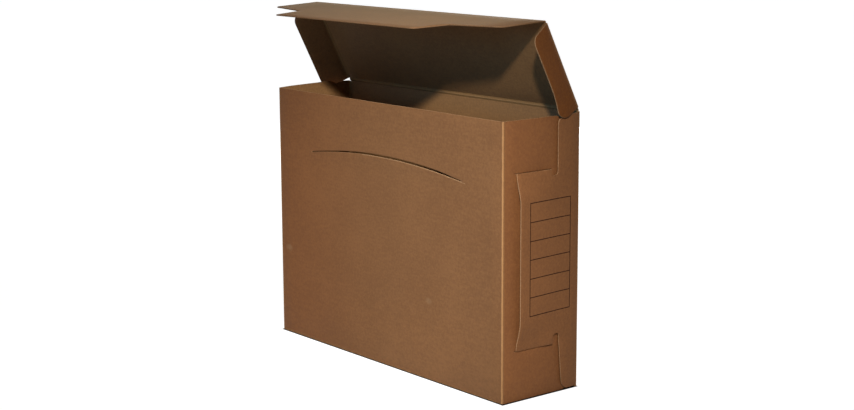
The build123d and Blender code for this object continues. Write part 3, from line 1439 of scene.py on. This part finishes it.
@dataclass
class OuterEndFlap(Piece):
    """Outer end flap, whose lock tab bows out over the inner flap.

    Attributes:
        word: Which end it closes.
        table: Whether the ruled table is printed on it.
        strip_y: Free edge of the upper strip.
        lower_strip_y: Free edge of the lower strip.
        foot_y: Where the lower strip's slanting edge meets its foot.
        foot: Height of its foot.
        foot_round: Rounding there.
        strip_top: Height of the upper strip at its free edge.
        strip_rear: Its height towards the rear fold.
        strip_peak_y: Where it reaches that height.
        strip_round: Rounding of its corner.
        ajar: How far the strips' free edges stand off.
        ajar_run: Length over which that passes to the tab.
        ajar_rise: Height over which the tab takes it up at its ends.
        tab_end: Free edge of the lock tab.
        tab_bow: How far the tab's free edge is bowed out.
        tab_bend: Height over which the bow rises at the tab's ends.
        tab_round: Rounding of its corners.
        notch_width: Width of the notches between the strips and the tab.
        upper_notch: Depth of the upper notch.
        lower_notch: Depth of the lower notch.
        line_width: Width of the table's lines.
        rows: Heights of its lines.
        columns: Where its upright lines stand.
        sheet_columns: Cuts that let the tab bow.
        sheet_rows: Cuts that let the tab bow, the other way.
    """

    word: str
    table: bool
    strip_y: float = 18.2
    lower_strip_y: float = 21.2
    foot_y: float = 25.4
    foot: float = 1.4
    foot_round: float = 7.5
    strip_top: float = 246.8
    strip_rear: float = 250.7
    strip_peak_y: float = 35.5
    strip_round: float = 4.2
    ajar: float = 1.3
    ajar_run: float = 14.0
    ajar_rise: float = 24.0
    tab_end: float = -29.3
    tab_bow: float = 4.2
    tab_bend: float = 27.0
    tab_round: float = 1.2
    notch_width: float = 8.0
    upper_notch: float = 5.8
    lower_notch: float = 9.2
    line_width: float = 0.8
    rows: tuple[float, ...] = (76.1, 92.9, 109.7, 126.6, 143.2, 160.0, 177.0)
    columns: tuple[float, ...] = (-17.5, 34.0)
    sheet_columns: tuple[float, ...] = (-25.0, -20.0, -14.0, -8.0, -2.0, 5.0)
    sheet_rows: tuple[float, ...] = (
        *(51.0, 57.0, 63.0, 69.0, 74.0, 84.0, 102.0, 118.0),
        *(134.0, 151.0, 168.0, 175.0, 180.0, 186.0, 192.0),
    )

    def build(self) -> None:
        """Build the flap with its strips, notches and tab."""
        name = f"{self.word}_outer_end_flap"
        rear = BACK_Y - FOLD_END
        bench = Bench(name, (self.lower_strip_y, self.foot), (rear, LOCK_BOTTOM))
        with bench:
            bench.slice(
                (self.foot_y, self.foot),
                (self.foot - LOCK_BOTTOM, self.lower_strip_y - self.foot_y),
                drop=True,
            )
            bench.round_corners([(self.foot_y, self.foot)], self.foot_round, 12)
            self._tab(bench)
            self._upper_strip(bench)
            self._notches(bench)
            bench.rule(self.sheet_columns, self.sheet_rows)
            if self.table:
                self._print_table(bench)
        bench.push(Push.OUT, self.tab_bow, self._bow)
        bench.push(Push.OUT, self.ajar, lambda spot: self._off(spot, rear))
        plane = end_plane(SIDES[self.word], OUTER_X)
        self.finish(bench, plane, f"{self.word}_end_flap", name, SHADED_END_KRAFT)

    def _to_end(self, spot: Vector) -> float:
        """Return how far a point is from the nearer end of the tab."""
        return min(spot.y - LOCK_BOTTOM, LOCK_TOP - spot.y)

    def _off(self, spot: Vector, rear: float) -> float:
        """Return how far the sheet stands off from the inner flap, from 0 to 1.

        Args:
            spot: A point of the sheet in millimetres.
            rear: Rear edge of the flap.

        Returns:
            The share.
        """
        share = min(1.0, (rear - spot.x) / (rear - self.strip_y))
        start = self.strip_y - self.notch_width - self.ajar_run
        near = smooth((spot.x - start) / self.ajar_run)
        ends = smooth(self._to_end(spot) / self.ajar_rise)
        return share * (near + (1.0 - near) * ends)

    def _bow(self, spot: Vector) -> float:
        """Return the tab's bow from 0 at the strip to 1 at the free edge.

        Args:
            spot: A point of the sheet in millimetres.

        Returns:
            The share.
        """
        across = (self.strip_y - spot.x) / (self.strip_y - self.tab_end)
        if across <= 0.0:
            return 0.0
        return across * smooth(self._to_end(spot) / self.tab_bend)

    def _tab(self, bench: Bench) -> None:
        """Pull the middle of the flap up, then its tab to the free edge.

        Args:
            bench: The flap's bench.
        """
        height = LOCK_TOP - LOCK_BOTTOM
        bench.pick(Pick.EDGES, lambda a, b: min(a.y, b.y) > LOCK_BOTTOM - NEAR)
        bench.pull((0.0, height, 0.0))
        bench.pick(
            Pick.EDGES,
            lambda a, b: max(a.x, b.x) < self.lower_strip_y + NEAR
            and abs(a.y - b.y) > 0.9 * height,
        )
        bench.pull((self.tab_end - self.lower_strip_y, 0.0, 0.0))

    def _upper_strip(self, bench: Bench) -> None:
        """Pull the upper strip to its top and cut that at its slant.

        Args:
            bench: The flap's bench.
        """
        bench.rule([self.strip_y])
        bench.pick(
            Pick.EDGES,
            lambda a, b: min(a.y, b.y) > LOCK_TOP - NEAR
            and min(a.x, b.x) > self.strip_y - NEAR,
        )
        bench.pull((0.0, self.strip_rear - LOCK_TOP, 0.0))
        bench.slice(
            (self.strip_peak_y, self.strip_rear),
            (self.strip_top - self.strip_rear, self.strip_peak_y - self.strip_y),
            drop=True,
        )
        bench.round_corners([(self.strip_y, self.strip_top)], self.strip_round, 8)

    def _notches(self, bench: Bench) -> None:
        """Cut the two notches beside the strips, and round the tab's corners.

        Args:
            bench: The flap's bench.
        """
        left, right = self.strip_y - self.notch_width, self.strip_y
        low_right, low_left = self.lower_strip_y, self.lower_strip_y - self.notch_width
        top, bottom = LOCK_TOP - self.upper_notch, LOCK_BOTTOM + self.lower_notch
        bench.rule([left, low_left, low_right], [top, bottom])
        bench.cut_out((left, top), (right, LOCK_TOP))
        bench.cut_out((low_left, LOCK_BOTTOM), (low_right, bottom))
        reach = self.notch_width / 2 - 0.1
        bench.round_corners([(left, top), (right, top)], reach)
        bench.round_corners([(low_left, bottom), (low_right, bottom)], reach)
        ends = [(self.tab_end, LOCK_TOP), (self.tab_end, LOCK_BOTTOM)]
        bench.round_corners(ends, self.tab_round, 4)

    def _print_table(self, bench: Bench) -> None:
        """Print the ruled table: its lines are faces of their own.

        Args:
            bench: The flap's bench.
        """
        half = self.line_width / 2
        for row in self.rows:
            bench.rule(rows=[row - half, row + half])
        for column in self.columns:
            bench.rule(columns=[column - half, column + half])
        low, high = self.columns[0] - half, self.columns[-1] + half
        bottom, top = self.rows[0] - half, self.rows[-1] + half

        def inked(spot: Vector) -> bool:
            """Tell whether a spot lies on a line of the table.

            Args:
                spot: A point of the sheet in millimetres.

            Returns:
                Whether it is inked.
            """
            if not (low < spot.x < high and bottom < spot.y < top):
                return False
            return any(abs(spot.y - row) < half for row in self.rows) or any(
                abs(spot.x - column) < half for column in self.columns
            )

        bench.mark(Surface.INK, inked)


@dataclass(frozen=True)
class EarCut:
    """How one ear is cut and how it stands.

    Attributes:
        back: Its rear end along the lid, from the lid's fold.
        taper: How far its free rear corner is set forwards.
        tuck: How far that corner is set back towards the fold.
        front_round: Rounding of its free front corner.
        back_round: Rounding of its free rear corner.
        curl: How far its rear corner is pressed in.
        splay: Its angle outwards from square with the lid, in degrees.
        outside: Finish of its outer side.
    """

    back: float
    taper: float
    tuck: float
    front_round: float
    back_round: float
    curl: float
    splay: float
    outside: Finish


RIGHT_EAR = EarCut(
    back=3.6,
    taper=0.8,
    tuck=3.4,
    front_round=7.5,
    back_round=10.0,
    curl=5.0,
    splay=18.0,
    outside=SHADED_EAR_KRAFT,
)
LEFT_EAR = EarCut(
    back=1.4,
    taper=-1.8,
    tuck=0.0,
    front_round=11.0,
    back_round=8.5,
    curl=0.0,
    splay=30.0,
    outside=SHADED_END_KRAFT,
)


@dataclass
class Lid(Piece):
    """Lid panel with its folds, its front flap and its two ears.

    Attributes:
        bow: How far the panel is bowed in.
        bow_runs: How far that bow rises from the ends, the rear and the front.
        wing_reach: Half the width of the front flap over its wings.
        wing_length: Length of a wing at its side.
        wing_round: Rounding of its corner.
        notch_depth: Length of a wing at the notch beside the tongue.
        tongue_root: Half the tongue's width where it starts.
        tongue_tip: Half its width at its tip.
        tongue_length: Length of the front flap over the tongue.
        tongue_round: Rounding of the tongue's corners.
        flap_rows: Cuts across the front flap.
        ear_width: Width of an ear from its fold.
        ear_front: How far an ear ends short of the lid's front.
        ear_belly: How far the middle of its free edge is bowed out.
        ear_middle: Where along the lid that is.
        ear_rows: Cuts along an ear.
        curl_from: Where along the lid the curl of an ear starts.
        curl_run: Length over which the curl grows.
        crease_leg: Width of an ear's fold on each side.
        crease_radius: Radius of the outside of that fold.
        ears: How each ear is cut.
    """

    bow: float = 0.4
    bow_runs: Triple = (140.0, 40.0, 40.0)
    wing_reach: float = 169.0
    wing_length: float = 50.0
    wing_round: float = 4.5
    notch_depth: float = 60.5
    tongue_root: float = 112.0
    tongue_tip: float = 105.0
    tongue_length: float = 94.5
    tongue_round: float = 3.6
    flap_rows: tuple[float, ...] = (14.0, 28.0, 42.0, 54.0, 72.0, 84.0)
    ear_width: float = 28.8
    ear_front: float = 2.1
    ear_belly: float = 0.5
    ear_middle: float = 45.0
    ear_rows: Triple = (8.0, 15.0, 22.0)
    curl_from: float = 36.0
    curl_run: float = 28.0
    crease_leg: float = 2.6
    crease_radius: float = 1.2
    ears: tuple[tuple[str, EarCut], ...] = (
        ("right", RIGHT_EAR),
        ("left", LEFT_EAR),
    )

    def build(self) -> None:
        """Build the lid and what hangs on it."""
        self._panel()
        self._front_flap()
        for word, cut in self.ears:
            self._ear(word, cut)
        for fold in self._folds():
            fold.make(self.finishes)

    def _panel(self) -> None:
        """Flat top of the lid."""
        low, high = FOLD_END + FOLD_ROOM, LID_DEPTH - FOLD_END
        half = LID_HALF - FOLD_ROOM
        bench = Bench("lid_panel", (-half, low), (half, high))
        with bench:
            bench.rule(steps_between(-half, half, 18), steps_between(low, high, 5))
        bench.push(Push.OUT, -self.bow, swell(half, low, high, self.bow_runs))
        self.finish(bench, LID_PLANE, "lid", "lid_panel")

    def _front_flap(self) -> None:
        """Front flap: two wings with the tongue between them."""
        reach, length, depth = self.wing_reach, self.wing_length, self.notch_depth
        bench = Bench("lid_front_flap", (-reach, FOLD_END), (reach, depth))
        with bench:
            for sign in (-1, 1):
                slant = (sign * (depth - length), reach - self.tongue_root)
                bench.slice((sign * reach, length), slant, drop=True)
                slant = (sign * (length - FOLD_END), LID_HALF - reach)
                bench.slice((sign * LID_HALF, FOLD_END), slant, drop=True)
            bench.pick(Pick.EDGES, lambda a, b: min(a.y, b.y) > depth - NEAR)
            bench.pull((0.0, self.tongue_length - depth, 0.0))
            bpy.ops.transform.resize(value=(self.tongue_tip / self.tongue_root, 1.0, 1.0))
            bench.round_corners(
                [(sign * reach, length) for sign in (-1, 1)], self.wing_round
            )
            bench.round_corners(
                [(sign * self.tongue_tip, self.tongue_length) for sign in (-1, 1)],
                self.tongue_round,
            )
            bench.rule(steps_between(-160.0, 160.0, 16), self.flap_rows)
        self.finish(bench, FLAP_PLANE, "front_flap", "lid_front_flap", edge=DULL_EDGE)

    def _ear_plane(self, side: int, splay: float) -> Plane:
        """Return an ear's plane: X along the lid, Y away from its fold, Z out.

        Args:
            side: 1 at the right end and -1 at the left one.
            splay: The ear's angle outwards, in degrees.

        Returns:
            The plane.
        """
        turn = math.radians(splay)
        lid_up, lid_out = Vector(LID_PLANE.up), Vector(LID_PLANE.out)
        away = Vector((side, 0, 0)) * math.sin(turn) - lid_out * math.cos(turn)
        out = Vector((side, 0, 0)) * math.cos(turn) + lid_out * math.sin(turn)
        corner = (side * OUTER_X, BACK_Y, LID_Z)
        return Plane(corner, tuple(lid_up), tuple(away), tuple(out))

    def _ear(self, word: str, cut: EarCut) -> None:
        """Ear at one end of the lid, rounded at its two free corners.

        Args:
            word: Which end it is at.
            cut: How it is cut.
        """
        name = f"{word}_lid_ear"
        front, width = LID_DEPTH - self.ear_front, self.ear_width
        bench = Bench(name, (cut.back, EAR_END + FOLD_ROOM), (front, width))
        with bench:
            bench.rule([self.curl_from])
            bench.pick_corners([(cut.back, width)])
            bpy.ops.transform.translate(value=(cut.taper * MM, -cut.tuck * MM, 0.0))
            bench.round_corners([(front, width)], cut.front_round, 10)
            rear = (cut.back + cut.taper, width - cut.tuck)
            bench.round_corners([rear], cut.back_round, 12)
            bench.rule(steps_between(cut.back, front, 8), self.ear_rows)
        bench.push(
            Push.OUT,
            self.ear_belly,
            lambda spot: smooth((spot.y - EAR_END) / (width - EAR_END))
            * (1.0 - ((spot.x - self.ear_middle) / self.ear_middle) ** 2),
        )
        if cut.curl:
            bench.push(
                Push.OUT,
                -cut.curl,
                lambda spot: smooth((self.curl_from - spot.x) / self.curl_run)
                * (spot.y / width) ** 1.5,
            )
        plane = self._ear_plane(SIDES[word], cut.splay)
        self.finish(bench, plane, f"{word}_ear", name, cut.outside)

    def _folds(self) -> list[Fold]:
        """Return the folds between the lid and its flap and ears.

        Returns:
            The folds, in the order in which they are made.
        """
        lid_up, lid_out = Vector(LID_PLANE.up), LID_PLANE.out
        half = LID_HALF - FOLD_ROOM
        ends = (-half, *LID_FRONT[1:]), (half, *LID_FRONT[1:])
        bodies = ("lid", "front_flap")
        folds = [
            Fold(
                "lid_front_crease", *ends, tuple(-lid_up), FLAP_PLANE.up, lid_out, bodies
            )
        ]
        for word, cut in self.ears:
            side = SIDES[word]
            corner = Vector((side * OUTER_X, BACK_Y, LID_Z))
            folds.append(
                Fold(
                    f"{word}_ear_crease",
                    tuple(corner + lid_up * cut.back),
                    tuple(corner + lid_up * (LID_DEPTH - self.ear_front)),
                    (-side, 0.0, 0.0),
                    self._ear_plane(side, cut.splay).up,
                    lid_out,
                    ("lid", f"{word}_ear"),
                    leg=self.crease_leg,
                    radius=self.crease_radius,
                )
            )
        return folds


@dataclass(frozen=True)
class Lamp:
    """A round lamp, or with a cone one whose light is a soft round pool.

    Attributes:
        name: Its name.
        place: Its place in metres.
        target: What it points at, in metres.
        size: Its diameter in metres.
        power: Its power in watts.
        colour: Its linear colour.
        cone: Full angle of its cone in degrees, or 0 for none.
        blend: How far the edge of its pool is softened, from 0 to 1.
    """

    name: str
    place: Triple
    target: Triple
    size: float
    power: float
    colour: Triple
    cone: float = 0.0
    blend: float = 1.0

    def build(self) -> None:
        """Hang the lamp."""
        data = bpy.data.lights.new(self.name, "SPOT" if self.cone else "AREA")
        if self.cone:
            data.shadow_soft_size = self.size / 2
            data.spot_size = math.radians(self.cone)
            data.spot_blend = self.blend
        else:
            data.shape = "DISK"
            data.size = self.size
        data.energy = self.power
        data.color = self.colour
        lamp = bpy.data.objects.new(self.name, data)
        lamp.location = self.place
        lamp.rotation_mode = "QUATERNION"
        way = Vector(self.target) - Vector(self.place)
        lamp.rotation_quaternion = way.to_track_quat("-Z", "Y")
        bpy.context.scene.collection.objects.link(lamp)


KEY_PLACE = (1.142, -0.879, 0.935)
KEY_SIZE = 0.08
KEY_COLOUR = (1.0, 0.965, 0.92)
FILL_COLOUR = (0.25, 0.55, 1.0)
MIDDLE = (0.0, 0.0, 0.15)
POOL = (-0.095, -0.0445, 0.035)  # where the beam meets the front
LAMPS = (
    Lamp("key", KEY_PLACE, MIDDLE, KEY_SIZE, 9.7, KEY_COLOUR),
    Lamp("rim", (-1.15, 1.05, 0.75), MIDDLE, 0.8, 4.4, (0.98, 0.9, 0.47)),
    Lamp("back", (-0.95, 1.3, 0.14), MIDDLE, 0.8, 22.0, (1.0, 0.98, 1.0)),
    Lamp("beam", KEY_PLACE, POOL, KEY_SIZE, 125.0, KEY_COLOUR, 20.5, 0.89),
    Lamp("low", (2.6, -0.35, 0.25), (0.17, 0.0, 0.01), KEY_SIZE, 26.0, KEY_COLOUR, 7.5),
    Lamp("fill", (0.12, -1.3, 0.45), (0.14, -0.045, 0.2), 0.5, 30.0, FILL_COLOUR, 24.0),
)


@dataclass
class Studio:
    """Camera, lamps, floor and background, as in the photograph.

    Attributes:
        image_width: Width of the picture in pixels.
        focal_pixels: Focal length in pixels.
        camera_place: The camera's place in metres.
        camera_right: Direction to the right of the picture.
        camera_forward: Direction into the picture.
        sky: Strength of the weak sky.
        floor_glow: How white the floor glows near the box.
        floor_drop: How far under the box the floor lies, in metres.
    """

    image_width: int = 854
    focal_pixels: float = 1671.9
    camera_place: Triple = (1.2209, -0.9830, 0.4434)
    camera_right: Triple = (0.6311, 0.7757, -0.0043)
    camera_forward: Triple = (-0.7628, 0.6196, -0.1848)
    sky: float = 0.03
    floor_glow: float = 0.9
    floor_drop: float = 0.00006

    def build(self) -> None:
        """Set up everything that isn't part of the box."""
        self._camera()
        for lamp in LAMPS:
            lamp.build()
        self._floor()
        self._background()
        bpy.context.scene.view_settings.view_transform = "Standard"

    def _camera(self) -> None:
        """Put the camera where the photograph was taken."""
        data = bpy.data.cameras.new("camera")
        camera = bpy.data.objects.new("camera", data)
        bpy.context.scene.collection.objects.link(camera)
        bpy.context.scene.camera = camera
        data.sensor_width = 36.0
        data.lens = self.focal_pixels / self.image_width * data.sensor_width
        data.clip_start = 0.01
        right = Vector(self.camera_right).normalized()
        forward = Vector(self.camera_forward)
        forward = (forward - right * forward.dot(right)).normalized()
        up = right.cross(forward)
        turn = Matrix((right, up, -forward)).transposed().to_4x4()
        camera.matrix_world = Matrix.Translation(self.camera_place) @ turn

    def _floor(self) -> None:
        """Lay a pale floor that keeps the box's shadow, with a painted dark contact
        shadow under and round the box's foot.
        """
        select_only(None)
        bpy.ops.mesh.primitive_plane_add(size=60.0, location=(0.0, 0.0, -self.floor_drop))
        bpy.ops.object.transform_apply(location=True, rotation=False, scale=False)
        floor = bpy.context.active_object
        floor.name = "floor"
        table = MaterialTable("studio_floor")
        unshadowed = self._open_floor(table)
        # Near black under the box and in a thin band round it, where the glow is also
        # off: a painted contact shadow.
        pale = table.blend(unshadowed, (0.02, 0.015, 0.012, 1.0), (0.4, 0.4, 0.4, 1.0))
        table.dress(pale, 0.9, 0.0)
        far = table.spread(table.vector("LENGTH", table.place()), 0.5, 1.6)
        level = table.math("MULTIPLY_ADD", far, 1.0 - self.floor_glow, self.floor_glow)
        level = table.math("MULTIPLY", level, unshadowed)
        glow = table.add("Emission")
        table.put(glow.inputs["Strength"], table.math("MULTIPLY", table.seen(), level))
        both = table.add("AddShader", table.shader.outputs[0], glow.outputs[0])
        table.put(table.tree.nodes["Material Output"].inputs["Surface"], both.outputs[0])
        floor.data.materials.append(table.material)

    @staticmethod
    def _open_floor(table: NodeTable) -> Socket:
        """Return 0 on the floor under the box and in a painted contact shadow just round
        it, and 1 a little way off.

        Args:
            table: The floor's table.

        Returns:
            The share.
        """
        x, y, _ = table.apart(table.place())
        off_end = table.math("SUBTRACT", table.math("ABSOLUTE", x), OUTER_X * MM)
        off_side = table.math("SUBTRACT", table.math("ABSOLUTE", y), BACK_Y * MM)
        return table.spread(table.math("MAXIMUM", off_end, off_side), 0.0008, 0.0022)

    def _background(self) -> None:
        """Show white behind the box, and light it with a weak sky."""
        world = bpy.data.worlds.new("backdrop")
        world.use_nodes = True
        bpy.context.scene.world = world
        table = NodeTable(world.node_tree)
        sky = table.tree.nodes["Background"]
        sky.inputs["Color"].default_value = (0.93, 0.96, 1.0, 1.0)
        sky.inputs["Strength"].default_value = self.sky
        white = table.add("Background", (1.0, 1.0, 1.0, 1.0))
        mix = table.add("MixShader", table.seen(), sky.outputs[0], white.outputs[0])
        table.put(table.tree.nodes["World Output"].inputs["Surface"], mix.outputs[0])


def main() -> None:
    """Build the box, the lid and the studio."""
    logging.basicConfig(level=logging.INFO, format="%(name)s: %(message)s")
    finishes = Finishes()
    BoxShell(finishes).build()
    for word in SIDES:
        OuterEndFlap(finishes, word, table=word == "right").build()
    Lid(finishes).build()
    Studio().build()


if __name__ == "__main__":
    main()
